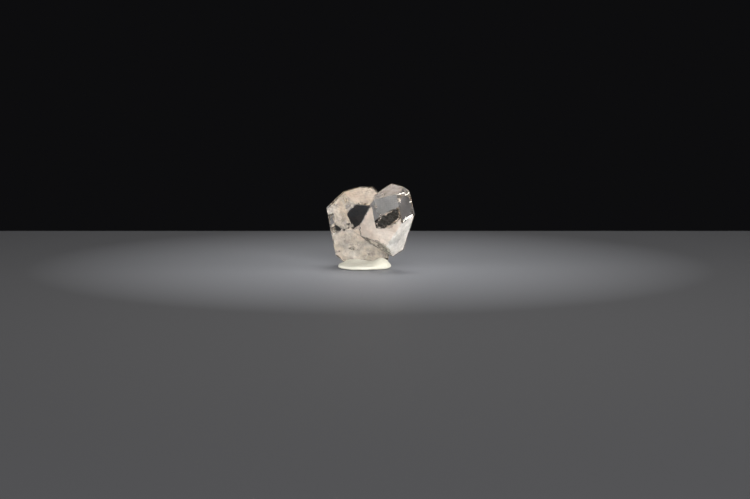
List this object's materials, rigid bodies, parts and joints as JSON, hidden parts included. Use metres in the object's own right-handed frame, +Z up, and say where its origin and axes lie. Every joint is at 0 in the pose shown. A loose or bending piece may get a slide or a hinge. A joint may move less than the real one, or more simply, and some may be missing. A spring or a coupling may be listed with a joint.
{
  "type": "intergrown double-terminated quartz crystals",
  "caption": "Clear double-terminated quartz crystals grown into each other in a heart-like pair, set upright on a small pad of whitish mounting putty.",
  "frame": {"origin": "centre of the bounding box at the underside of the putty pad", "axes": "+Z up from the flat underside; -Y is the side seen in the picture, with the broad faces of both crystals"},
  "size_m": [0.0115, 0.0094, 0.0112],
  "materials": {
    "quartz": "natural crystal faces, clear with a faint warm tint, veils and healed cracks inside",
    "putty": "matt hand-pressed whitish putty"
  },
  "bodies": {
    "root": {"crystal": "quartz", "mounting_putty": "putty"}
  },
  "joints": []
}
